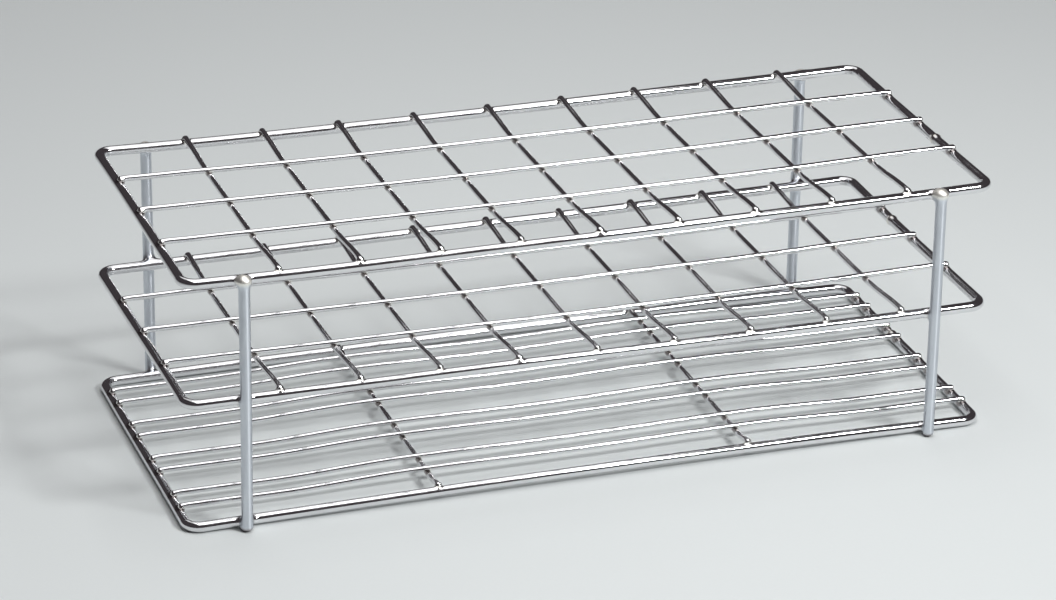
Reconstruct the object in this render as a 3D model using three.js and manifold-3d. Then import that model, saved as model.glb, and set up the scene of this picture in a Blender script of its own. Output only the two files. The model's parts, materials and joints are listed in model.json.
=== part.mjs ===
// Test tube rack of welded stainless steel wire, for forty tubes in four rows of ten.
// Millimetres, +Z up. The origin is on the table, under the middle of the rack.
// X runs along the rows of tubes, Y from the front to the back.
//
// Three closed wire frames are stacked: a top shelf, a middle shelf and a base. On each shelf,
// cross wires rest on the frame's long sides and dip between them, so that the long wires run
// over them almost straight from one short side of the frame to the other. The base has straight
// cross wires, and over them a pair of long wires under each row of tubes, so a tube's round end
// sits between two wires. Four straight legs are welded outside the long sides.
// Wires touch where they are welded.

import * as THREE from "three";
import { mergeVertices } from "three/addons/utils/BufferGeometryUtils.js";
import Module from "manifold-3d";

// Wire diameters
const FRAME_WIRE = 3.2;
const GRID_WIRE = 1.8;
const LEG_WIRE = 3.5;

// The grid of tube places
const COLUMNS = 10;
const ROWS = 4;
const COLUMN_PITCH = 25;
const ROW_PITCH = 25.5;

// The frames, measured between the centre lines of opposite sides
const FRAME_LENGTH = 256.6;
const FRAME_WIDTH = 108;
const CORNER_RADIUS = 4.5;
const LEVEL_SPACING = 39.6;

// The butt weld that closes each frame's wire on its right-hand short side
const WELD_GAP = 0.2;
const WELD_DIAMETER = 3.6;
const WELD_LENGTH = 4;
const TOP_WELD_Y = -13;
const MIDDLE_WELD_Y = 17;
const BASE_WELD_Y = 13;

// Grid wires: cross wires run along Y, long wires along X
const CROSS_WIRE_LENGTH = 109;
const CROSS_WIRE_DIP = 1.4;
const LONG_WIRE_LENGTH = 257.6;
const WIRE_END_FLAT = 4;
const BEND_FROM_CROSSING = 4;
const BASE_SLOPE_LENGTH = 44;

// The base
const PAIR_SPACING = 9;
const BASE_CROSS_WIRE_FROM_MIDDLE = 50.5;

// The legs
const LEG_FROM_MIDDLE = 111;
const LEG_ABOVE_TOP_FRAME = 1;
const LEG_END_ROUNDING = 0.7;

// How round each wire is drawn
const FRAME_SIDES = 16;
const GRID_SIDES = 12;
const LEG_SIDES = 20;
const CORNER_STEPS = 6;
const ROUNDING_STEPS = 3;

const UP = new THREE.Vector3(0, 0, 1);
const FORWARD = new THREE.Vector3(0, -1, 0);
const QUARTER_TURN = Math.PI / 2;
const BASE_LEVEL = FRAME_WIRE / 2;
const MIDDLE_LEVEL = BASE_LEVEL + LEVEL_SPACING;
const TOP_LEVEL = MIDDLE_LEVEL + LEVEL_SPACING;

// Where a shelf's outermost cross wire and long wire are, from the middle
const OUTER_COLUMN_LINE = (COLUMNS / 2 - 1) * COLUMN_PITCH;
const OUTER_ROW_LINE = (ROWS / 2 - 1) * ROW_PITCH;

// Heights above a frame's own centre line
const ON_FRAME = (FRAME_WIRE + GRID_WIRE) / 2;
const DIPPED = ON_FRAME - CROSS_WIRE_DIP;

const wasm = await Module();
wasm.setup();

/** A wire's centre line: a chain of points in one plane, with one ring of the section at each. */
class WireLine extends THREE.Curve {
  constructor(points, planeNormal) {
    super();
    this.points = points;
    this.planeNormal = planeNormal;
  }

  getSpacedPoints() {
    return this.points.map((point) => point.clone());
  }

  /** Each ring stands square to the middle direction of the two stretches that meet there. */
  computeFrenetFrames() {
    const directions = this.points
      .slice(1)
      .map((point, i) => point.clone().sub(this.points[i]).normalize());
    const tangents = this.points.map((_, i) => {
      const before = directions[Math.max(i - 1, 0)];
      const after = directions[Math.min(i, directions.length - 1)];
      return before.clone().add(after).normalize();
    });
    const binormals = tangents.map(() => this.planeNormal.clone());
    const normals = tangents.map((t, i) => new THREE.Vector3().crossVectors(binormals[i], t));
    return { tangents, normals, binormals };
  }
}

/** A round wire swept along a chain of points that lies in one plane. */
function sweptWire(points, planeNormal, diameter, sides) {
  const section = new THREE.Shape();
  for (let i = 0; i < sides; i += 1) {
    const angle = (2 * Math.PI * i) / sides;
    const x = (diameter / 2) * Math.cos(angle);
    const y = (diameter / 2) * Math.sin(angle);
    if (i === 0) section.moveTo(x, y);
    else section.lineTo(x, y);
  }
  section.closePath();
  return new THREE.ExtrudeGeometry(section, {
    steps: points.length - 1,
    extrudePath: new WireLine(points, planeNormal),
  });
}

/** A straight leg along Z, centred on the origin. Its cut ends are flat, with rounded edges. */
function legGeometry(length) {
  const end = [];
  for (let i = 0; i <= ROUNDING_STEPS; i += 1) {
    const angle = (QUARTER_TURN * i) / ROUNDING_STEPS;
    const radius = LEG_WIRE / 2 - LEG_END_ROUNDING * (1 - Math.cos(angle));
    const fromEnd = LEG_END_ROUNDING * (1 - Math.sin(angle));
    end.push(new THREE.Vector2(radius, length / 2 - fromEnd));
  }
  end.push(new THREE.Vector2(0, length / 2));
  const start = end.map((point) => new THREE.Vector2(point.x, -point.y)).reverse();
  return new THREE.LatheGeometry([...start, ...end], LEG_SIDES).rotateX(QUARTER_TURN);
}

/** A closed geometry as a manifold-3d solid. */
function solidFrom(geometry) {
  const bare = geometry.clone();
  bare.deleteAttribute("normal");
  bare.deleteAttribute("uv");
  const merged = mergeVertices(bare, 1e-4);
  return new wasm.Manifold(
    new wasm.Mesh({
      numProp: 3,
      vertProperties: merged.attributes.position.array,
      triVerts: new Uint32Array(merged.index.array),
    }),
  );
}

/** A manifold-3d solid as a geometry. */
function geometryFrom(solid) {
  const mesh = solid.getMesh();
  const geometry = new THREE.BufferGeometry();
  geometry.setAttribute("position", new THREE.BufferAttribute(mesh.vertProperties, 3));
  geometry.setIndex(new THREE.BufferAttribute(mesh.triVerts, 1));
  geometry.computeVertexNormals();
  return geometry;
}

/** One rounded corner of a frame's centre line, turning left around its own centre. */
function cornerPoints(signX, signY) {
  const centreX = signX * (FRAME_LENGTH / 2 - CORNER_RADIUS);
  const centreY = signY * (FRAME_WIDTH / 2 - CORNER_RADIUS);
  const middle = Math.atan2(signY, signX);
  const points = [];
  for (let i = 0; i <= CORNER_STEPS; i += 1) {
    const angle = middle + QUARTER_TURN * (i / CORNER_STEPS - 0.5);
    const x = centreX + CORNER_RADIUS * Math.cos(angle);
    const y = centreY + CORNER_RADIUS * Math.sin(angle);
    points.push(new THREE.Vector3(x, y, 0));
  }
  return points;
}

/**
 * A closed frame: one wire bent round, its two ends joined by a butt weld at `weldY`.
 * The weld stands proud all round, except underneath, where it is dressed flush with the wire.
 */
function frameGeometry(weldY) {
  const sideX = FRAME_LENGTH / 2;
  const points = [
    new THREE.Vector3(sideX, weldY + WELD_GAP / 2, 0),
    ...cornerPoints(1, 1),
    ...cornerPoints(-1, 1),
    ...cornerPoints(-1, -1),
    ...cornerPoints(1, -1),
    new THREE.Vector3(sideX, weldY - WELD_GAP / 2, 0),
  ];
  const wire = sweptWire(points, UP, FRAME_WIRE, FRAME_SIDES);
  const weld = new THREE.SphereGeometry(0.5, FRAME_SIDES, FRAME_SIDES / 2)
    .scale(WELD_DIAMETER, WELD_LENGTH, WELD_DIAMETER)
    .translate(sideX, weldY, 0);
  const dressedOff = new THREE.BoxGeometry(WELD_DIAMETER, WELD_LENGTH, WELD_DIAMETER)
    .translate(sideX, weldY, -(FRAME_WIRE + WELD_DIAMETER) / 2);
  const joined = solidFrom(wire).add(solidFrom(weld)).subtract(solidFrom(dressedOff));
  return geometryFrom(joined);
}

/**
 * A grid wire along X, centred on the origin. Its ends rest on the frame, and between `bendLeft`
 * and `bendRight` it lies at `height`. Each slope between the two is `slope` long.
 */
function gridWireGeometry(length, bendLeft, bendRight, height, slope) {
  const end = length / 2;
  const line = [
    [-end, ON_FRAME],
    [bendLeft - slope, ON_FRAME],
    [bendLeft, height],
    [bendRight, height],
    [bendRight + slope, ON_FRAME],
    [end, ON_FRAME],
  ];
  const points = line.map(([x, z]) => new THREE.Vector3(x, 0, z));
  return sweptWire(points, FORWARD, GRID_WIRE, GRID_SIDES);
}

const frameMetal = { color: 0xbfc3c8, roughness: 0.18, metalness: 1 };
const gridMetal = { color: 0xd2d5d9, roughness: 0.15, metalness: 1 };
const legMetal = { color: 0xb4bcc8, roughness: 0.22, metalness: 1 };

/** A named mesh with its own material, placed in its parent. */
function piece(parent, name, geometry, metal, x = 0, y = 0, z = 0) {
  const mesh = new THREE.Mesh(geometry, new THREE.MeshStandardMaterial(metal));
  mesh.name = name;
  mesh.position.set(x, y, z);
  parent.add(mesh);
  return mesh;
}

/** A cross wire at `x`, front to back. Its ends rest on the frame, and its middle is at `height`. */
function crossWire(parent, name, x, height) {
  const bend = OUTER_ROW_LINE + BEND_FROM_CROSSING;
  const slope = CROSS_WIRE_LENGTH / 2 - WIRE_END_FLAT - bend;
  const wire = gridWireGeometry(CROSS_WIRE_LENGTH, -bend, bend, height, slope);
  piece(parent, name, wire, gridMetal, x).rotation.z = QUARTER_TURN;
}

/** The group of one level, at its frame's centre line, with the frame in it. */
function level(name, height, weldY) {
  const group = new THREE.Group();
  group.position.z = height;
  piece(group, `${name}_frame`, frameGeometry(weldY), frameMetal);
  return group;
}

/** A shelf: a grid of openings that the tubes stand in. Wires count from the left and the back. */
function shelf(name, height, weldY) {
  const group = level(name, height, weldY);
  for (let i = 1; i < COLUMNS; i += 1) {
    crossWire(group, `${name}_cross_wire_${i}`, (i - COLUMNS / 2) * COLUMN_PITCH, DIPPED);
  }
  const bend = OUTER_COLUMN_LINE + BEND_FROM_CROSSING;
  const slope = LONG_WIRE_LENGTH / 2 - WIRE_END_FLAT - bend;
  for (let j = 1; j < ROWS; j += 1) {
    const overCrossWires = DIPPED + GRID_WIRE;
    const wire = gridWireGeometry(LONG_WIRE_LENGTH, -bend, bend, overCrossWires, slope);
    piece(group, `${name}_long_wire_${j}`, wire, gridMetal, 0, (ROWS / 2 - j) * ROW_PITCH);
  }
  return group;
}

/** The base: two cross wires, and over them a pair of long wires under each row of tubes. */
function base() {
  const group = level("base", BASE_LEVEL, BASE_WELD_Y);
  crossWire(group, "base_cross_wire_left", -BASE_CROSS_WIRE_FROM_MIDDLE, ON_FRAME);
  crossWire(group, "base_cross_wire_right", BASE_CROSS_WIRE_FROM_MIDDLE, ON_FRAME);
  const bend = BASE_CROSS_WIRE_FROM_MIDDLE + BEND_FROM_CROSSING;
  const high = ON_FRAME + GRID_WIRE;
  for (let row = 1; row <= ROWS; row += 1) {
    const rowY = ((ROWS + 1) / 2 - row) * ROW_PITCH;
    for (const [side, offset] of [["back", PAIR_SPACING / 2], ["front", -PAIR_SPACING / 2]]) {
      const wire = gridWireGeometry(LONG_WIRE_LENGTH, -bend, bend, high, BASE_SLOPE_LENGTH);
      piece(group, `base_row_${row}_${side}_wire`, wire, gridMetal, 0, rowY + offset);
    }
  }
  return group;
}

/** The four legs, standing on the table and welded to the outside of every frame. */
function legs() {
  const group = new THREE.Group();
  const length = TOP_LEVEL + LEG_ABOVE_TOP_FRAME;
  const fromMiddleY = (FRAME_WIDTH + FRAME_WIRE + LEG_WIRE) / 2;
  for (const [depth, signY] of [["front", -1], ["rear", 1]]) {
    for (const [hand, signX] of [["left", -1], ["right", 1]]) {
      const x = signX * LEG_FROM_MIDDLE;
      const y = signY * fromMiddleY;
      piece(group, `leg_${depth}_${hand}`, legGeometry(length), legMetal, x, y, length / 2);
    }
  }
  return group;
}

const rack = new THREE.Group();
rack.name = "test_tube_rack";
rack.add(shelf("top", TOP_LEVEL, TOP_WELD_Y));
rack.add(shelf("middle", MIDDLE_LEVEL, MIDDLE_WELD_Y));
rack.add(base());
rack.add(legs());

export default rack;
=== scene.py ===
"""Looks of a welded stainless steel test tube rack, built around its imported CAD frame.

Every CAD wire is replaced by one closed tube of fine mesh along the same centre line. The tubes
swell into smooth fillets where wires are welded, their cut ends are rounded over, and the whole
rack is a little out of true, as hand welding leaves it. Lengths are in metres, +Z is up, X runs
along the rows of tubes and Y from the front to the back.
"""

import json
import math

import bpy
import numpy as np
from mathutils import Matrix, Vector


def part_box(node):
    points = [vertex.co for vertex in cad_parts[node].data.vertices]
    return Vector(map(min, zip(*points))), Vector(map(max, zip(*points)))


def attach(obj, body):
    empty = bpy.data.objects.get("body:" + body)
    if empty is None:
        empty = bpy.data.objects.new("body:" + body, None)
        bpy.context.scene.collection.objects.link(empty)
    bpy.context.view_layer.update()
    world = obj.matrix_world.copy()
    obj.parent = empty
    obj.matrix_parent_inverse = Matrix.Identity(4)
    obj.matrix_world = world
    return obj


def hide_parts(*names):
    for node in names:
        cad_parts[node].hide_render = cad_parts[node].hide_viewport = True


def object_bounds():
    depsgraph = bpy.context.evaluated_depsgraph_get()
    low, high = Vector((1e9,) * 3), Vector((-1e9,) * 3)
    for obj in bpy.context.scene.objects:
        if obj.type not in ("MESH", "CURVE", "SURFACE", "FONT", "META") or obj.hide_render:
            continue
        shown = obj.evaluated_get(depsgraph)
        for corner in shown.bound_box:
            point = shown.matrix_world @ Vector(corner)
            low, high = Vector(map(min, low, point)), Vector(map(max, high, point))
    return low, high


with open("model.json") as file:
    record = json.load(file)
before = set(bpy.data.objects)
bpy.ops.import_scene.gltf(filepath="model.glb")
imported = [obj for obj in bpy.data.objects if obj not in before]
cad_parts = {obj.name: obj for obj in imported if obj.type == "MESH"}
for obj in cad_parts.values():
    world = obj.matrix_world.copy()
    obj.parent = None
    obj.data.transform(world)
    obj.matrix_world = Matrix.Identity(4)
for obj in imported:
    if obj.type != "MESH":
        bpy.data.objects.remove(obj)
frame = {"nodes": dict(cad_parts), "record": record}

CAD_LOW, CAD_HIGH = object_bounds()

MM = 0.001

# The wires
FRAME_WIRE = 3.2 * MM
GRID_WIRE = 1.8 * MM
LEG_WIRE = 3.5 * MM
CORNER_RADIUS = 4.5 * MM
BEND_FROM_CROSSING = 4.0 * MM
WIRE_END_FLAT = 4.0 * MM
BASE_SLOPE_LENGTH = 44.0 * MM

# The welds. A wire sinks into the wire that it is welded to, and its end is squashed a little.
# Painted shade darkens the wire under each long wire, close to the weld, and painted contact shade
# with some heat tint darkens the foot of each leg.
TOUCHING = 0.15 * MM
FRAME_SINK = 0.3 * MM
CROSSING_SINK = 0.5 * MM
BASE_CROSSING_SINK = 0.4 * MM
SQUASHED_LENGTH = 3.2 * MM
SQUASHED_WIDER = 0.12
SQUASHED_LOWER = 0.15
GRID_FILLET = 0.3 * MM
FRAME_FILLET = 1.3 * MM
LEG_FILLET = 2.6 * MM
FILLET_VARIATION = 0.25
WELD_METAL_REACH = 1.4 * MM
# How far the painted shade reaches along a wire from a long wire lying on it, and how high up a leg
# its painted contact shade, with some heat tint, reaches
PAINTED_SHADE_REACH = 2.0 * MM
FOOT_SHADE_AND_TINT_HEIGHT = 1.4 * MM
BULGE_LIMIT = 0.3
BUTT_BEAD_HEIGHT = 0.3 * MM
BUTT_BEAD_LENGTH = 1.2 * MM

# The bead is flat where the frame's surface faces down: how far down that is, as the z part of its
# direction, and how much more of z it takes to reach the bead's full height
BEAD_FLAT_FACING = -0.95
BEAD_RISES_OVER = 0.5

# How round each wire's cut ends are, as a share of its radius
LONG_END_ROUNDING = 0.8
CROSS_END_ROUNDING = 1.0
LEG_FOOT_ROUNDING = 0.5
LEG_TOP_ROUNDING = 0.95

# A leg's top is mushroomed where it was welded and ground off
LEG_TOP_WIDER = 0.3
LEG_TOP_WIDENING = 1.5 * MM

# How finely the tubes are drawn. Steps are between rings, and they grow away from welds and bends.
# A reach is how far the small steps go on around a bend or a bead.
FRAME_SIDES = 32
GRID_SIDES = 24
LEG_SIDES = 36
FINE_STEP = 0.2 * MM
COARSE_STEP = 3.0 * MM
STEP_GROWTH = 0.18
CORNER_STEP = 0.45 * MM
CORNER_REACH = CORNER_RADIUS * 1.2
BUTT_BEAD_REACH = BUTT_BEAD_LENGTH * 1.5
PATH_STEP = 0.1 * MM
DIRECTION_STEP = 0.05 * MM
END_RINGS = 7
CLEAR_OF_ROUNDING = 1.02
SURFACE_HALVINGS = 12

# How far the rack is out of true. A bow is how far a level's middle stands above its two ends, along
# its front, its middle and its back. A lean lifts the right half and lowers the left, a tilt lifts
# the back and lowers the front, and a twist is a tilt that changes sign from left to right.
LEG_SHIFTS = {
    "leg_front_left": -0.5 * MM,
    "leg_front_right": -1.15 * MM,
    "leg_rear_left": -1.05 * MM,
    "leg_rear_right": -1.05 * MM,
}
FRONT_LEGS_HIGHER = 1.6 * MM
REAR_LEGS_LOWER = 0.4 * MM
LEG_FOOT_GAP = 0.5 * MM
FRAMES_TO_LEFT = 0.35 * MM
TOP_RISE = 0.2 * MM
TOP_BOW = (-0.4 * MM, -1.5 * MM, -0.9 * MM)
TOP_LEAN = 0.55 * MM
TOP_TILT = -0.15 * MM
TOP_TWIST = -0.2 * MM
MIDDLE_BOW = (0.4 * MM, -1.3 * MM, 0.25 * MM)
MIDDLE_LEAN = -0.3 * MM
MIDDLE_TILT = -0.5 * MM
MIDDLE_TWIST = 0.5 * MM
BASE_FRONT_BOW = 1.4 * MM
BASE_BACK_BOW = 0.8 * MM
BASE_SAG_BACK = 1.2 * MM
BASE_SAG_FRONT = 0.2 * MM
BASE_EDGE_STARTS = 0.8
BASE_EDGE_WIDTH = 0.12
BASE_RIGHT_LIFT = 0.3 * MM
BASE_RIGHT_LIFT_PLACE = 85.0 * MM
BASE_RIGHT_LIFT_REACH = 28.0 * MM
SIDES_BOW_IN = 0.35 * MM
SIDES_BOW_POWER = 8
WANDER = 0.1 * MM

UP = np.array([0.0, 0.0, 1.0])
RIGHT = np.array([1.0, 0.0, 0.0])

random = np.random.default_rng(11)


def corners(node):
    """A CAD node's lowest and highest corners, as arrays."""
    low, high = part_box(node)
    return np.array(low), np.array(high)


def smooth_step(t):
    """0 below 0, 1 above 1, and an even S between them."""
    t = np.clip(t, 0.0, 1.0)
    return t * t * (3.0 - 2.0 * t)


class Stretch:
    """A straight part of a wire that runs along one axis, for finding where wires touch."""

    def __init__(self, axis, centre, low, high, radius):
        self.axis = axis
        self.centre = np.array(centre, float)
        self.low = low
        self.high = high
        self.radius = radius

    def reaches(self, place):
        return self.low <= place <= self.high


class Weld:
    """Where one wire touches another: the spot, and the other wire's stretch and fillet."""

    def __init__(self, spot, other, fillet):
        self.spot = spot
        self.other = other
        self.fillet = fillet

    def distance(self, points):
        """From each point to the other wire's surface, with that wire's ends taken as round."""
        other = self.other
        nearest = np.tile(other.centre, (len(points), 1))
        inset = other.radius if other.high - other.low > 2 * other.radius else 0
        nearest[:, other.axis] = np.clip(
            points[:, other.axis], other.low + inset, other.high - inset
        )
        return np.linalg.norm(points - nearest, axis=1) - other.radius


class Wire:
    """One length of round wire. `path` turns distances along it into points of its centre line."""

    def __init__(self, node, diameter, sides, path, length, stretches, closed=False):
        self.node = node
        self.radius = diameter / 2
        self.sides = sides
        self.path = path
        self.length = length
        self.stretches = stretches
        self.closed = closed
        self.across = UP
        self.start_rounding = LONG_END_ROUNDING
        self.end_rounding = LONG_END_ROUNDING
        self.squashed_ends = False
        self.widened_top = False
        self.bends = []
        self.welds = []
        self.butt_weld = None


def leg_wire(node):
    """A straight upright leg, in the middle of its node's box but for its shift."""
    low, high = corners(node)
    foot = (low + high) / 2
    foot[0] += LEG_SHIFTS[node]
    foot[2] = low[2] + LEG_FOOT_GAP
    length = high[2] - foot[2] + (FRONT_LEGS_HIGHER if foot[1] < 0 else -REAR_LEGS_LOWER)

    def path(along):
        return foot + np.outer(along, UP)

    stretch = Stretch(2, foot, foot[2], foot[2] + length, LEG_WIRE / 2)
    leg = Wire(node, LEG_WIRE, LEG_SIDES, path, length, [stretch])
    leg.across = RIGHT
    leg.start_rounding = LEG_FOOT_ROUNDING
    leg.end_rounding = LEG_TOP_ROUNDING
    leg.widened_top = True
    return leg


def grid_wire(node, axis, bends, slope, end_height, middle_height):
    """A wire along X or Y. Its ends are at one height, and it is at another between its bends."""
    low, high = corners(node)
    middle = (low + high) / 2
    start, finish = low[axis], high[axis]
    first_bend, last_bend = bends

    def path(along):
        place = start + along
        up_first = smooth_step((place - first_bend + slope) / slope)
        up_last = smooth_step((last_bend + slope - place) / slope)
        points = np.tile(middle, (len(place), 1))
        points[:, axis] = place
        rise = middle_height - end_height
        points[:, 2] = end_height + rise * np.minimum(up_first, up_last)
        return points

    radius = GRID_WIRE / 2
    at_end = (middle[0], middle[1], end_height)
    at_middle = (middle[0], middle[1], middle_height)
    stretches = [
        Stretch(axis, at_end, start, first_bend - slope, radius),
        Stretch(axis, at_middle, first_bend, last_bend, radius),
        Stretch(axis, at_end, last_bend + slope, finish, radius),
    ]
    wire = Wire(node, GRID_WIRE, GRID_SIDES, path, finish - start, stretches)
    wire.squashed_ends = True
    return wire


def cross_wire(node, outermost_long_wire):
    """A wire front to back: its ends sink into the frame, and its middle may dip below them."""
    low, high = corners(node)
    bend = abs(corners(outermost_long_wire)[0][1]) + BEND_FROM_CROSSING
    slope = high[1] - WIRE_END_FLAT - bend
    end_height = high[2] - GRID_WIRE / 2 - FRAME_SINK
    middle_height = min(low[2] + GRID_WIRE / 2, end_height)
    wire = grid_wire(node, 1, (-bend, bend), slope, end_height, middle_height)
    wire.start_rounding = wire.end_rounding = CROSS_END_ROUNDING
    return wire


def long_wire(node, cross_wires, slope):
    """A wire from left to right: its ends sink into the frame, and it lies on the cross wires."""
    low, high = corners(node)
    first = cross_wires[0].stretches[1]
    last = cross_wires[-1].stretches[1]
    bends = (first.centre[0] - BEND_FROM_CROSSING, last.centre[0] + BEND_FROM_CROSSING)
    end_height = low[2] + GRID_WIRE / 2 - FRAME_SINK
    sink = BASE_CROSSING_SINK if slope else CROSSING_SINK
    middle_height = first.centre[2] + GRID_WIRE - sink
    return grid_wire(node, 0, bends, slope or high[0] - WIRE_END_FLAT - bends[1],
                     end_height, middle_height)


def butt_weld_place(node):
    """How far back a frame's butt weld is: the CAD frame is widest there, on its right side."""
    widest = max(frame["nodes"][node].data.vertices, key=lambda vertex: vertex.co.x)
    return widest.co.y


def frame_wire(node):
    """A closed frame: a rounded rectangle, drawn round from the butt weld on its right side."""
    low, high = corners(node)
    radius = FRAME_WIRE / 2
    level = low[2] + radius
    half_x = -low[0] - radius
    half_y = high[1] - radius
    weld_y = butt_weld_place(node)
    inner_x = half_x - CORNER_RADIUS
    inner_y = half_y - CORNER_RADIUS
    quarter = CORNER_RADIUS * math.pi / 2

    # Each straight run: its length, where it starts, and which way it heads, in quarter turns
    trip = [
        (inner_y - weld_y, (half_x, weld_y), 1),
        (2 * inner_x, (inner_x, half_y), 2),
        (2 * inner_y, (-half_x, inner_y), 3),
        (2 * inner_x, (-inner_x, -half_y), 4),
        (inner_y + weld_y, (half_x, -inner_y), 5),
    ]
    turns = [(inner_x, inner_y), (-inner_x, inner_y), (-inner_x, -inner_y), (inner_x, -inner_y)]
    length = sum(straight[0] for straight in trip) + 4 * quarter

    def path(along):
        along = np.asarray(along, float) % length
        points = np.full((len(along), 3), level)
        passed = 0.0
        for number, (run, start, heading) in enumerate(trip):
            here = (along >= passed) & (along <= passed + run)
            angle = heading * math.pi / 2
            ahead = along[here] - passed
            points[here, 0] = start[0] + ahead * math.cos(angle)
            points[here, 1] = start[1] + ahead * math.sin(angle)
            passed += run
            if number == len(turns):
                break
            here = (along >= passed) & (along <= passed + quarter)
            angle = (along[here] - passed) / CORNER_RADIUS + number * math.pi / 2
            points[here, 0] = turns[number][0] + CORNER_RADIUS * np.cos(angle)
            points[here, 1] = turns[number][1] + CORNER_RADIUS * np.sin(angle)
            passed += quarter
        points[:, 0] -= FRAMES_TO_LEFT
        return points

    stretches = [
        Stretch(0, (0, side * half_y, level), -inner_x, inner_x, radius) for side in (-1, 1)
    ] + [
        Stretch(1, (side * half_x - FRAMES_TO_LEFT, 0, level), -inner_y, inner_y, radius)
        for side in (-1, 1)
    ]
    wire = Wire(node, FRAME_WIRE, FRAME_SIDES, path, length, stretches, closed=True)
    wire.butt_weld = np.array([half_x - FRAMES_TO_LEFT, weld_y, level])
    wire.bends = [np.array([x - FRAMES_TO_LEFT, y, level]) for x, y in turns]
    return wire


def level_wires(level, outermost_long_wire, slope=None):
    """The frame, cross wires and long wires of one level. `slope` is set where it isn't the whole
    way from the last cross wire to the frame."""
    names = sorted(node for node in frame["nodes"] if node.startswith(level))
    cross = [cross_wire(node, outermost_long_wire) for node in names if "cross_wire" in node]
    long_names = [node for node in names if "cross_wire" not in node and "frame" not in node]
    along = [long_wire(node, cross, slope) for node in long_names]
    return [frame_wire(f"{level}_frame"), *cross, *along]


def rack_wires():
    """Every wire of the rack, one for each CAD node."""
    wires = level_wires("top", "top_long_wire_1") + level_wires("middle", "middle_long_wire_1")
    wires += level_wires("base", "base_row_1_back_wire", BASE_SLOPE_LENGTH)
    wires += [leg_wire(node) for node in sorted(frame["nodes"]) if node.startswith("leg_")]
    return wires


def fillet_size(first, second):
    """How large the weld's fillet is: larger between thicker wires."""
    thick = max(first.radius, second.radius)
    if thick == LEG_WIRE / 2:
        size = LEG_FILLET
    elif thick == FRAME_WIRE / 2:
        size = FRAME_FILLET
    else:
        size = GRID_FILLET
    return size * (1 + FILLET_VARIATION * random.uniform(-1, 1))


def weld_if_touching(wire, stretch, other_wire, other):
    """Gives both wires a weld if the two stretches cross and touch."""
    if stretch.axis == other.axis:
        return
    across = 3 - stretch.axis - other.axis
    gap = abs(stretch.centre[across] - other.centre[across])
    if gap > stretch.radius + other.radius + TOUCHING:
        return
    if not stretch.reaches(other.centre[stretch.axis]):
        return
    if not other.reaches(stretch.centre[other.axis]):
        return
    spot = stretch.centre.copy()
    spot[stretch.axis] = other.centre[stretch.axis]
    opposite = spot.copy()
    opposite[across] = other.centre[across]
    size = fillet_size(stretch, other)
    wire.welds.append(Weld(spot, other, size))
    other_wire.welds.append(Weld(opposite, stretch, size))


def find_welds(wires):
    """Welds every pair of wires that touch."""
    for i, wire in enumerate(wires):
        for other_wire in wires[i + 1:]:
            for stretch in wire.stretches:
                for other in other_wire.stretches:
                    weld_if_touching(wire, stretch, other_wire, other)


def ring_places(wire):
    """Distances along a wire for its rings: close together at welds and bends, and far apart
    between them."""
    along = np.linspace(0, wire.length, int(wire.length / PATH_STEP))
    points = wire.path(along)
    spacing = np.full(len(along), COARSE_STEP)
    spots = [(weld.spot, weld.fillet + weld.other.radius, FINE_STEP) for weld in wire.welds]
    spots += [(bend, CORNER_REACH, CORNER_STEP) for bend in wire.bends]
    if wire.butt_weld is not None:
        spots.append((wire.butt_weld, BUTT_BEAD_REACH, FINE_STEP))
    for spot, reach, step in spots:
        away = np.linalg.norm(points - spot, axis=1)
        spacing = np.minimum(spacing, step + STEP_GROWTH * np.maximum(away - reach, 0))
    if not wire.closed:
        to_end = np.minimum(along, wire.length - along)
        spacing = np.minimum(spacing, FINE_STEP + STEP_GROWTH * to_end)
    count = np.concatenate([[0], np.cumsum(np.diff(along) / spacing[1:])])
    rings = np.linspace(0, count[-1], int(math.ceil(count[-1])) + 1)
    places = np.interp(rings, count, along)
    return places[:-1] if wire.closed else places


def rings_of(wire):
    """For each ring: its distance along the wire, its share of the full radius, and the angle at
    which its surface leans towards the wire's end."""
    places = ring_places(wire)
    if wire.closed:
        return places, np.ones_like(places), np.zeros_like(places)
    turn = np.linspace(0, math.pi / 2, END_RINGS)
    start = wire.radius * wire.start_rounding
    end = wire.radius * wire.end_rounding
    clear_of_start = places > start * CLEAR_OF_ROUNDING
    clear_of_end = places < wire.length - end * CLEAR_OF_ROUNDING
    middle = places[clear_of_start & clear_of_end]
    start_along = start * (1 - np.sin(turn[::-1]))
    end_along = wire.length - end * (1 - np.sin(turn))
    start_share = 1 - wire.start_rounding * (1 - np.cos(turn[::-1]))
    end_share = 1 - wire.end_rounding * (1 - np.cos(turn))
    along = np.concatenate([start_along, middle, end_along])
    share = np.concatenate([start_share, np.ones_like(middle), end_share])
    lean = np.concatenate([-turn[::-1], np.zeros_like(middle), turn])
    return along, share, lean


def directions_of(wire, along):
    """The centre line's points, and at each one its direction and the two directions across it."""
    centre = wire.path(along)
    after = along + DIRECTION_STEP
    before = along - DIRECTION_STEP
    if not wire.closed:
        after = np.minimum(after, wire.length)
        before = np.maximum(before, 0)
    ahead = wire.path(after)
    behind = wire.path(before)
    forward = ahead - behind
    forward /= np.linalg.norm(forward, axis=1)[:, None]
    sideways = np.cross(wire.across, forward)
    sideways /= np.linalg.norm(sideways, axis=1)[:, None]
    return centre, forward, sideways, np.cross(forward, sideways)


def blended_distance(own, other, fillet):
    """Smooth union of two distances, which rounds off the corner between them over `fillet`."""
    near = np.maximum(fillet - np.abs(own - other), 0) / fillet
    return np.minimum(own, other) - near * near * fillet / 4


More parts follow.
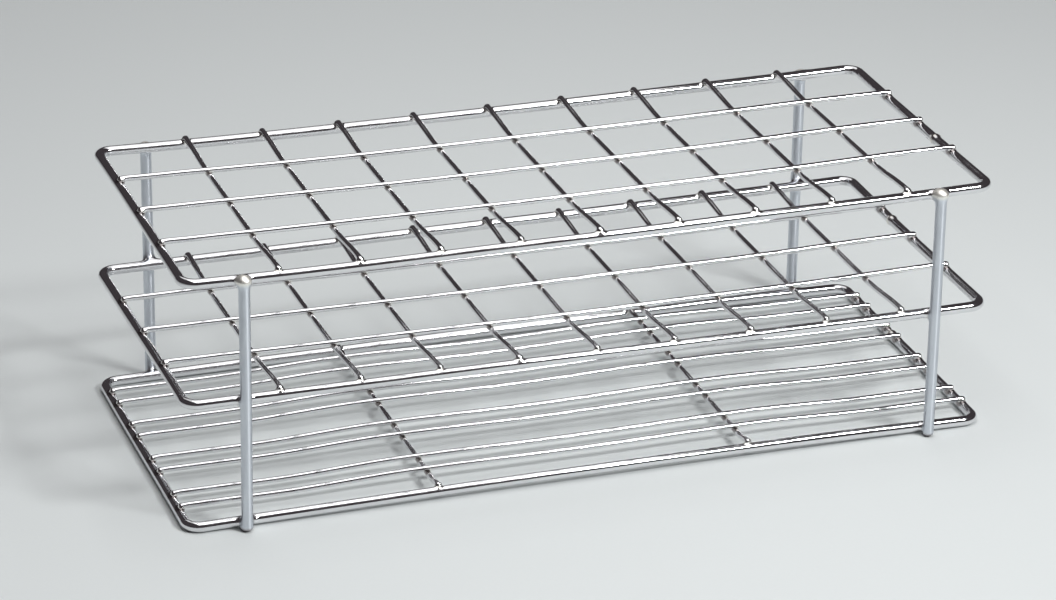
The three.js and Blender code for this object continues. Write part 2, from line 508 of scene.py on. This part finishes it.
def swell_into_weld(points, outward, weld, limit):
    """How far out each point of a wire's surface moves to reach the weld's fillet, found by
    halving the range that holds it."""
    least = np.zeros(len(points))
    most = np.full(len(points), limit)
    for _ in range(SURFACE_HALVINGS):
        middle = (least + most) / 2
        moved = points + outward * middle[:, None]
        inside = blended_distance(middle, weld.distance(moved), weld.fillet) < 0
        least = np.where(inside, middle, least)
        most = np.where(inside, most, middle)
    outside = blended_distance(np.zeros(len(points)), weld.distance(points), weld.fillet) >= 0
    return np.where(outside, 0.0, (least + most) / 2)


def weld_surface(wire, points, outward):
    """The wire's surface with its welds, how much of each point is weld metal, and how much is
    darkened by painted shade under a long wire."""
    swell = np.zeros(len(points))
    metal = np.zeros(len(points))
    painted_shade_and_tint = np.zeros(len(points))
    for weld in wire.welds:
        reach = wire.radius + weld.other.radius + max(2 * weld.fillet, PAINTED_SHADE_REACH)
        close = np.flatnonzero(np.linalg.norm(points - weld.spot, axis=1) < reach)
        limit = BULGE_LIMIT * weld.fillet
        moved = swell_into_weld(points[close], outward[close], weld, limit)
        swell[close] = np.maximum(swell[close], moved)
        away = weld.distance(points[close])
        metal[close] = np.maximum(metal[close], smooth_step(1 - away / WELD_METAL_REACH))
        # Painted shade: the wire is darkened where a long wire lies on it, close to the weld
        under_long_wire = weld.other.axis == 0 and weld.other.radius == GRID_WIRE / 2
        if under_long_wire:
            painted_shade_and_tint[close] = np.maximum(painted_shade_and_tint[close], smooth_step(2 - 2 * away / PAINTED_SHADE_REACH))
    if wire.butt_weld is not None:
        bead, proud = butt_bead(wire, points, outward)
        swell = np.maximum(swell, BUTT_BEAD_HEIGHT * bead * proud)
        metal = np.maximum(metal, bead)
    return points + outward * swell[:, None], metal, painted_shade_and_tint


def butt_bead(wire, points, outward):
    """How much each point belongs to the butt weld's bead, and how proud the bead is there: it is
    flat underneath, where the frame may lie on a table."""
    away = points - wire.butt_weld
    bead = np.exp(-((away[:, 1] / BUTT_BEAD_LENGTH) ** 2))
    bead *= np.abs(away[:, 0]) < CORNER_RADIUS
    proud = smooth_step((outward[:, 2] - BEAD_FLAT_FACING) / BEAD_RISES_OVER)
    return bead, proud


def bowed(across, depth, bow, lean, tilt, twist):
    """How far a level is bent up at each point. `across` runs from -1 at the left to 1 at the
    right, and `depth` from -1 at the front to 1 at the back."""
    front, middle, back = bow
    rise = middle + (back - front) / 2 * depth + ((front + back) / 2 - middle) * depth ** 4
    return (rise + lean * across) * (1 - across ** 2) + (tilt + twist * across) * depth


def out_of_true(points):
    """The bowed levels, and the slight wander of wires that were bent and welded by hand."""
    x, y, z = points.T
    across = np.clip(x / CAD_HIGH.x, -1, 1)
    depth = np.clip(y / CAD_HIGH.y, -1, 1)
    middle_level = corners("middle_frame")[0][2]
    top_level = corners("top_frame")[0][2]
    top = TOP_RISE + bowed(across, depth, TOP_BOW, TOP_LEAN, TOP_TILT, TOP_TWIST)
    middle = bowed(across, depth, MIDDLE_BOW, MIDDLE_LEAN, MIDDLE_TILT, MIDDLE_TWIST)
    low_share = np.clip(z / middle_level, 0, 1)
    high_share = np.clip((z - middle_level) / (top_level - middle_level), 0, 1)
    base = base_rise(x, y, z)
    rise = base * (1 - low_share) + middle * low_share * (1 - high_share) + top * high_share
    inward = SIDES_BOW_IN * np.sign(x) * across ** SIDES_BOW_POWER * (1 - depth ** 2) * low_share
    moved = points + wander(x, y, z, low_share)
    moved[:, 0] -= inward
    moved[:, 2] = np.maximum(moved[:, 2] + rise, 0)
    return moved


def wander(x, y, z, low_share):
    """A small drift in long waves of unrelated lengths, so that no two wires drift alike. Nothing
    drifts up or down at the table."""
    drift_x = np.sin(y / (19 * MM) + z / (31 * MM)) * np.sin(x / (43 * MM) + 1.0)
    drift_y = np.sin(x / (33 * MM) + z / (23 * MM)) + 0.6 * np.sin(x / (14 * MM) + y / (29 * MM))
    drift_z = np.sin(x / (21 * MM) + y / (17 * MM)) * np.sin(z / (30 * MM) + x / (50 * MM))
    return np.column_stack([drift_x, drift_y, drift_z * low_share]) * WANDER


def base_rise(x, y, z):
    """The base's long sides bow up off the table, its long wires sag between its cross wires, and
    they lift a little near its right end."""
    across = np.clip(x / CAD_HIGH.x, -1, 1)
    edge = smooth_step((np.abs(y / CAD_HIGH.y) - BASE_EDGE_STARTS) / BASE_EDGE_WIDTH)
    outside_legs = smooth_step((np.abs(y) - CAD_HIGH.y + LEG_WIRE) / LEG_WIRE * 2)
    bow = np.where(y < 0, BASE_FRONT_BOW, BASE_BACK_BOW)
    bow *= (1 - across ** 2) * edge * (1 - outside_legs)
    left = corners("base_cross_wire_left")[1][0]
    right = corners("base_cross_wire_right")[0][0]
    from_middle = np.clip((2 * x - left - right) / (right - left), -1, 1)
    depth = 0.5 + 0.5 * np.clip(y / CAD_HIGH.y, -1, 1)
    amount = BASE_SAG_FRONT + (BASE_SAG_BACK - BASE_SAG_FRONT) * depth
    sag = amount * np.cos(from_middle * math.pi / 2) ** 2 * (1 - edge)
    lift = BASE_RIGHT_LIFT * np.exp(-((x - BASE_RIGHT_LIFT_PLACE) / BASE_RIGHT_LIFT_REACH) ** 2)
    return bow + (lift - sag) * smooth_step((z - FRAME_WIRE / 2) / GRID_WIRE)


def faces_between(rings, sides, closed):
    """Quads between neighbouring rings, and at open ends a fan of triangles to a pole. The two
    poles are numbered after all the rings' points."""
    faces = []
    last = rings if closed else rings - 1
    for ring in range(last):
        here = ring * sides
        there = (ring + 1) % rings * sides
        for side in range(sides):
            beside = (side + 1) % sides
            faces.append((here + side, here + beside, there + beside, there + side))
    if not closed:
        end = (rings - 1) * sides
        pole = rings * sides
        for side in range(sides):
            beside = (side + 1) % sides
            faces.append((pole, beside, side))
            faces.append((pole + 1, end + side, end + beside))
    return faces


def tube_surface(wire):
    """The wire's surface without its welds: its points ring by ring, with the open ends' poles
    last, the way out at each point, its place in the wire's own coordinates, and the number of
    rings."""
    along, share, lean = rings_of(wire)
    centre, forward, sideways, upward = directions_of(wire, along)
    angle = np.linspace(0, 2 * math.pi, wire.sides, endpoint=False)
    squashed = np.zeros(len(along))
    if wire.squashed_ends:
        to_end = np.minimum(along, wire.length - along)
        squashed = smooth_step(1 - to_end / SQUASHED_LENGTH)
    wider = 1 + SQUASHED_WIDER * squashed
    lower = 1 - SQUASHED_LOWER * squashed
    if wire.widened_top:
        from_widest = (wire.length - wire.radius - along) / LEG_TOP_WIDENING
        share = share * (1 + LEG_TOP_WIDER * np.exp(-from_widest ** 2))
    across = (
        np.outer(wider, np.cos(angle))[:, :, None] * sideways[:, None, :]
        + np.outer(lower, np.sin(angle))[:, :, None] * upward[:, None, :]
    )
    points = centre[:, None, :] + across * (wire.radius * share)[:, None, None]
    outward = (
        across * np.cos(lean)[:, None, None]
        + forward[:, None, :] * np.sin(lean)[:, None, None]
    )
    points = points.reshape(-1, 3)
    outward = outward.reshape(-1, 3)
    place = np.column_stack([
        np.repeat(along, wire.sides),
        np.tile(np.cos(angle) * wire.radius, len(along)),
        np.tile(np.sin(angle) * wire.radius, len(along)),
    ])
    if not wire.closed:
        points = np.vstack([points, centre[0], centre[-1]])
        outward = np.vstack([outward, -forward[0], forward[-1]])
        place = np.vstack([place, [along[0], 0, 0], [along[-1], 0, 0]])
    return points, outward, place, len(along)


def store(mesh, name, kind, field, values):
    """Stores a value or a vector at each of the mesh's points, for its material to read."""
    attribute = mesh.attributes.new(name, kind, "POINT")
    attribute.data.foreach_set(field, values.astype(np.float32).ravel())


def tube(wire):
    """The wire's mesh: one closed surface with its welds, fillets and rounded ends."""
    points, outward, place, rings = tube_surface(wire)
    points, metal, painted_shade_and_tint = weld_surface(wire, points, outward)
    if wire.widened_top:
        top = smooth_step((place[:, 0] - wire.length + 2 * wire.radius) / wire.radius)
        metal = np.maximum(metal, top)
        # The leg's foot is darkened: painted contact shade, with some heat tint
        painted_shade_and_tint = np.maximum(painted_shade_and_tint, smooth_step(1 - place[:, 0] / FOOT_SHADE_AND_TINT_HEIGHT))
    points = out_of_true(points)
    faces = faces_between(rings, wire.sides, wire.closed)

    mesh = bpy.data.meshes.new(f"polished_{wire.node}")
    mesh.from_pydata(points.tolist(), [], faces)
    mesh.polygons.foreach_set("use_smooth", [True] * len(faces))
    store(mesh, "weld_metal", "FLOAT", "value", metal)
    store(mesh, "painted_shade_and_heat_tint", "FLOAT", "value", painted_shade_and_tint)
    store(mesh, "wire_place", "FLOAT_VECTOR", "vector", place / MM)
    if signed_volume(points, faces) < 0:
        mesh.flip_normals()
    mesh.update()
    return mesh


def signed_volume(points, faces):
    """Above zero when the faces point outward."""
    total = 0.0
    quads = np.array([face if len(face) == 4 else (*face, face[2]) for face in faces])
    a, b, c, d = (points[quads[:, i]] for i in range(4))
    total += np.einsum("ij,ij->i", a, np.cross(b, c)).sum()
    total += np.einsum("ij,ij->i", a, np.cross(c, d)).sum()
    return total / 6


# Materials

# Noise on the wires: waves per millimetre along the wire and across it, and how detailed it is
DRAWING_LINES = (0.05, 7.0, 3.0)
SMUDGES = (0.12, 0.5, 4.0)
PITTING = (3.0, 3.0, 5.0)

# The range that most of a noise's values are in
NOISE_LOW = 0.3
NOISE_HIGH = 0.7

# How far smudges and drawing lines dull the steel
SMUDGE_DULLING = 0.6
LINE_DULLING = 0.3

# How smudges and pitting change the roughness, from and to
SMUDGE_ROUGHENING = (-0.03, 0.05)
PITTING_ROUGHENING = (-0.05, 0.05)

# The relief, as shares of its full depth
RELIEF = 0.006 * MM
LINE_RELIEF = 0.35
PITTING_RELIEF = 0.25
WELD_PITTING_RELIEF = 1.6

# The colour of the painted shade under the long wires and of the legs' painted contact shade, with
# some heat tint, at their feet
PAINTED_SHADE_AND_TINT_COLOUR = (0.30, 0.27, 0.27)

FLOOR_DARKER = (0.70, 0.735, 0.735)
FLOOR_LIGHTER = (0.72, 0.755, 0.755)
FLOOR_GRAIN = 900.0
FLOOR_GRAIN_DETAIL = 4.0
FLOOR_ROUGHNESS = 0.6
FLOOR_GLOSS = 0.2


class Look:
    """A material, with a short way to add nodes to its tree and to join them."""

    def __init__(self, name):
        self.material = bpy.data.materials.new(name)
        self.material.use_nodes = True
        self.tree = self.material.node_tree
        self.shader = self.tree.nodes["Principled BSDF"]

    def add(self, kind):
        return self.tree.nodes.new(kind)

    def feed(self, value, socket):
        """Gives a socket another node's output, a plain number or a plain colour."""
        if isinstance(value, bpy.types.NodeSocket):
            self.tree.links.new(value, socket)
        elif isinstance(value, tuple):
            socket.default_value = (*value, 1)
        else:
            socket.default_value = value

    def shade(self, **inputs):
        """Feeds the shader's inputs. An underscore in a name stands for a space."""
        for name, value in inputs.items():
            self.feed(value, self.shader.inputs[name.replace("_", " ")])

    def stored(self, name, output="Fac"):
        """What the mesh stores at each point under a name."""
        node = self.add("ShaderNodeAttribute")
        node.attribute_name = name
        return node.outputs[output]

    def noise(self, place, scale, detail):
        node = self.add("ShaderNodeTexNoise")
        self.feed(place, node.inputs["Vector"])
        self.feed(scale, node.inputs["Scale"])
        self.feed(detail, node.inputs["Detail"])
        return node.outputs["Fac"]

    def noise_on_wire(self, along, across, detail):
        """Noise in the wire's own coordinates, in millimetres: along its length, and across it."""
        mapping = self.add("ShaderNodeMapping")
        mapping.inputs["Scale"].default_value = (along, across, across)
        self.feed(self.stored("wire_place", "Vector"), mapping.inputs["Vector"])
        return self.noise(mapping.outputs["Vector"], 1.0, detail)

    def spread(self, value, low, high):
        """Takes the range that most of a noise is in to the range from low to high."""
        node = self.add("ShaderNodeMapRange")
        self.feed(value, node.inputs["Value"])
        self.feed(NOISE_LOW, node.inputs["From Min"])
        self.feed(NOISE_HIGH, node.inputs["From Max"])
        self.feed(low, node.inputs["To Min"])
        self.feed(high, node.inputs["To Max"])
        return node.outputs["Result"]

    def blend(self, amount, first, second):
        """A mix of two colours."""
        node = self.add("ShaderNodeMix")
        node.data_type = "RGBA"
        self.feed(amount, node.inputs["Factor"])
        self.feed(first, node.inputs["A"])
        self.feed(second, node.inputs["B"])
        return node.outputs["Result"]

    def math(self, operation, first, second):
        node = self.add("ShaderNodeMath")
        node.operation = operation
        self.feed(first, node.inputs[0])
        self.feed(second, node.inputs[1])
        return node.outputs["Value"]

    def plus(self, first, second):
        return self.math("ADD", first, second)

    def times(self, first, second):
        return self.math("MULTIPLY", first, second)

    def relief(self, height, depth):
        """The surface's direction with a fine relief on it."""
        node = self.add("ShaderNodeBump")
        self.feed(1.0, node.inputs["Strength"])
        self.feed(depth, node.inputs["Distance"])
        self.feed(height, node.inputs["Height"])
        return node.outputs["Normal"]

    def upright(self):
        """The direction straight up."""
        node = self.add("ShaderNodeCombineXYZ")
        self.feed(1.0, node.inputs["Z"])
        return node.outputs["Vector"]


def steel(name, bright, dull, roughness, weld_colour, weld_roughness, drawn=0.0):
    """Electropolished stainless steel wire: faint drawing lines, soft smudges, pitted weld metal,
    and painted shade under the long wires and at the legs' feet, with some heat tint at the feet.
    `drawn` stretches the highlights of an upright wire, as fine drawing lines do."""
    look = Look(name)
    lines = look.noise_on_wire(*DRAWING_LINES)
    smudges = look.noise_on_wire(*SMUDGES)
    pitting = look.noise_on_wire(*PITTING)
    weld = look.stored("weld_metal")
    away_from_weld = look.math("SUBTRACT", 1.0, weld)

    dulled = look.plus(
        look.spread(smudges, 0.0, SMUDGE_DULLING), look.spread(lines, 0.0, LINE_DULLING)
    )
    tone = look.blend(dulled, bright, dull)
    tone = look.blend(weld, tone, weld_colour)
    # Painted shade under the long wires and painted contact shade at the legs' feet, partly heat
    # tint there
    tone = look.blend(look.stored("painted_shade_and_heat_tint"), tone, PAINTED_SHADE_AND_TINT_COLOUR)

    rough = look.plus(look.spread(smudges, *SMUDGE_ROUGHENING), roughness)
    weld_rough = look.plus(look.spread(pitting, *PITTING_ROUGHENING), weld_roughness)
    rough = look.plus(look.times(rough, away_from_weld), look.times(weld_rough, weld))

    pitted = look.plus(look.times(weld, WELD_PITTING_RELIEF), PITTING_RELIEF)
    height = look.plus(look.times(lines, LINE_RELIEF), look.times(pitting, pitted))
    look.shade(Metallic=1.0, Base_Color=tone, Roughness=rough, Normal=look.relief(height, RELIEF))
    if drawn:
        look.shade(Tangent=look.upright(), Anisotropic=look.times(away_from_weld, drawn))
    return look.material


def pale_floor():
    """Plain pale board with the faintest grain."""
    look = Look("pale_floor")
    place = look.add("ShaderNodeTexCoord").outputs["Object"]
    grain = look.noise(place, FLOOR_GRAIN, FLOOR_GRAIN_DETAIL)
    look.shade(
        Base_Color=look.blend(grain, FLOOR_DARKER, FLOOR_LIGHTER),
        Roughness=FLOOR_ROUGHNESS,
        Specular_IOR_Level=FLOOR_GLOSS,
    )
    return look.material


# Building the rack

LOOKS = {
    "frame_wire": steel(
        "polished_frame_steel",
        bright=(0.80, 0.80, 0.81),
        dull=(0.70, 0.70, 0.72),
        roughness=0.10,
        weld_colour=(0.82, 0.79, 0.74),
        weld_roughness=0.18,
    ),
    "grid_wire": steel(
        "polished_grid_steel",
        bright=(0.84, 0.84, 0.85),
        dull=(0.74, 0.74, 0.76),
        roughness=0.10,
        weld_colour=(0.80, 0.78, 0.74),
        weld_roughness=0.18,
    ),
    "leg_wire": steel(
        "satin_leg_steel",
        bright=(0.76, 0.80, 0.85),
        dull=(0.68, 0.72, 0.78),
        roughness=0.32,
        weld_colour=(0.96, 0.94, 0.88),
        weld_roughness=0.48,
        drawn=0.9,
    ),
}


def slot_of(node):
    """The record's material slot for a node."""
    for part in frame["record"]["subparts"]:
        if part["node"] == node:
            return part["material_slot"]
    return "grid_wire"


def build_rack():
    """Every wire as its own piece, standing for its CAD node."""
    wires = rack_wires()
    find_welds(wires)
    for wire in wires:
        piece = bpy.data.objects.new(f"polished_{wire.node}", tube(wire))
        bpy.context.scene.collection.objects.link(piece)
        piece.data.materials.append(LOOKS[slot_of(wire.node)])
        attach(piece, "root")
        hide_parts(wire.node)


# The studio

FLOOR_WIDTH = 12.0
FLOOR_BELOW = 0.02 * MM
SURROUNDINGS = (0.052, 0.045, 0.049)

# Each lamp: where it is, the point that it faces, its width and height, and its power in watts
LAMPS = {
    "front_box": ((0.58, -0.83, 0.95), (0, 0, 0.04), (0.36, 0.16), 11.5),
    "overhead_front": ((0, -0.13, 0.72), (0, -0.13, 0), (0.57, 0.66), 3.0),
    "overhead_back": ((0, 0.52, 0.72), (0, 0.52, 0), (0.57, 0.64), 1.15),
}


def build_floor():
    """A wide flat floor just under the rack's feet."""
    half = FLOOR_WIDTH / 2
    signs = [(-1, -1), (1, -1), (1, 1), (-1, 1)]
    square = [(x * half, y * half, -FLOOR_BELOW) for x, y in signs]
    mesh = bpy.data.meshes.new("floor")
    mesh.from_pydata(square, [], [(0, 1, 2, 3)])
    floor = bpy.data.objects.new("floor", mesh)
    bpy.context.scene.collection.objects.link(floor)
    floor.data.materials.append(pale_floor())


def soft_lamp(name, place, aim, size, watts):
    """A white soft box of size (width, height), facing its aim point."""
    light = bpy.data.lights.new(name, "AREA")
    light.shape = "RECTANGLE"
    light.size, light.size_y = size
    light.energy = watts
    lamp = bpy.data.objects.new(name, light)
    lamp.location = place
    lamp.rotation_mode = "QUATERNION"
    lamp.rotation_quaternion = (Vector(aim) - Vector(place)).to_track_quat("-Z", "Y")
    bpy.context.scene.collection.objects.link(lamp)


def build_lights():
    """A small soft box at the front right, two panels overhead, and dark surroundings."""
    for name, (place, aim, size, watts) in LAMPS.items():
        soft_lamp(name, place, aim, size, watts)
    world = bpy.data.worlds.new("dark_studio")
    world.use_nodes = True
    world.node_tree.nodes["Background"].inputs["Color"].default_value = (*SURROUNDINGS, 1)
    bpy.context.scene.world = world


# The camera

CAMERA_AIM = Vector((-10.39, -18.6, 45.88)) * MM
CAMERA_DISTANCE = 1315.5 * MM
CAMERA_AZIMUTH = math.radians(19.224)
CAMERA_ELEVATION = math.radians(23.965)
CAMERA_ROLL = math.radians(0.885)
LENS = 145.0
SENSOR = 36.0


def build_camera():
    """A long lens, in front of the rack, to its left and above it."""
    flat = Vector((math.sin(CAMERA_AZIMUTH), math.cos(CAMERA_AZIMUTH), 0))
    ahead = flat * math.cos(CAMERA_ELEVATION) - Vector((0, 0, math.sin(CAMERA_ELEVATION)))
    level_right = Vector((math.cos(CAMERA_AZIMUTH), -math.sin(CAMERA_AZIMUTH), 0))
    level_up = level_right.cross(ahead)
    right = level_right * math.cos(CAMERA_ROLL) + level_up * math.sin(CAMERA_ROLL)
    up = right.cross(ahead)
    data = bpy.data.cameras.new("camera")
    data.lens = LENS
    data.sensor_width = SENSOR
    camera = bpy.data.objects.new("camera", data)
    turned = Matrix((right, up, -ahead)).transposed().to_4x4()
    camera.matrix_world = Matrix.Translation(CAMERA_AIM - ahead * CAMERA_DISTANCE) @ turned
    bpy.context.scene.collection.objects.link(camera)
    bpy.context.scene.camera = camera


build_rack()
build_floor()
build_lights()
build_camera()
bpy.context.scene.view_settings.view_transform = "Standard"
